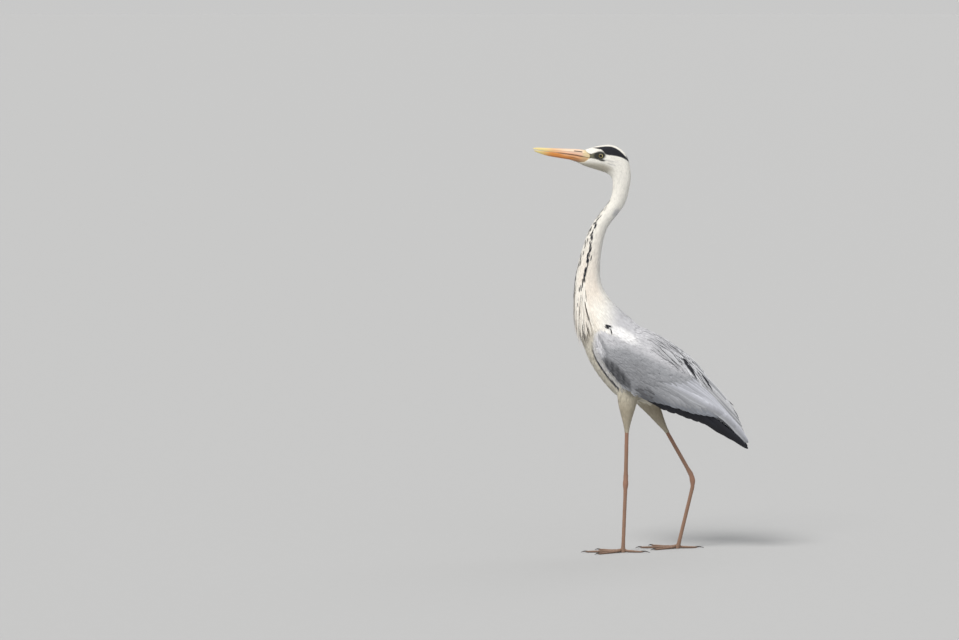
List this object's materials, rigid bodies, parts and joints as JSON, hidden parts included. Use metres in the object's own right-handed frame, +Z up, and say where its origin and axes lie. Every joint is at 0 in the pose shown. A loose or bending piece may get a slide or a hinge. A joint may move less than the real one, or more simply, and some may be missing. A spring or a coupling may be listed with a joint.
{
  "type": "grey heron, life-size still model",
  "caption": "Life-size still model of an adult grey heron, walking slowly with its neck raised and its wings folded.",
  "frame": {"origin": "middle of the bird's box, at floor level", "axes": "+Z up; the bird faces -Y and its left side is +X"},
  "size_m": [0.1732, 0.494, 0.9296],
  "materials": {
    "plumage_white": "soft matt feathers, white with a cream tint",
    "plumage_grey": "soft matt feathers, blue-grey",
    "plumage_black": "smooth feathers, black with a blue gloss",
    "bill": "satin horn, orange to yellow",
    "eye": "wet gloss, yellow iris and black pupil",
    "leg_skin": "matt scaled skin, pinkish brown",
    "claw": "satin horn, dark brown"
  },
  "bodies": {
    "root": {"head": "plumage_white", "bill_upper": "bill", "bill_lower": "bill", "eye_left": "eye", "eye_right": "eye", "neck_upper": "plumage_white", "neck_middle": "plumage_white", "neck_lower": "plumage_white", "trunk": "plumage_white", "breast_plumes": "plumage_white", "crest_plume_left": "plumage_black", "crest_plume_right": "plumage_black", "wing_left": "plumage_grey", "wing_right": "plumage_grey", "flight_quills_left": "plumage_black", "flight_quills_right": "plumage_black", "scapulars_left": "plumage_grey", "scapulars_right": "plumage_grey", "tail": "plumage_grey", "thigh_left": "plumage_white", "thigh_right": "plumage_white", "shank_left": "leg_skin", "shank_right": "leg_skin", "tarsus_left": "leg_skin", "tarsus_right": "leg_skin", "toe_left_inner": "leg_skin", "toe_left_middle": "leg_skin", "toe_left_outer": "leg_skin", "toe_left_hind": "leg_skin", "toe_right_inner": "leg_skin", "toe_right_middle": "leg_skin", "toe_right_outer": "leg_skin", "toe_right_hind": "leg_skin", "claw_left_inner": "claw", "claw_left_middle": "claw", "claw_left_outer": "claw", "claw_left_hind": "claw", "claw_right_inner": "claw", "claw_right_middle": "claw", "claw_right_outer": "claw", "claw_right_hind": "claw"}
  },
  "joints": []
}
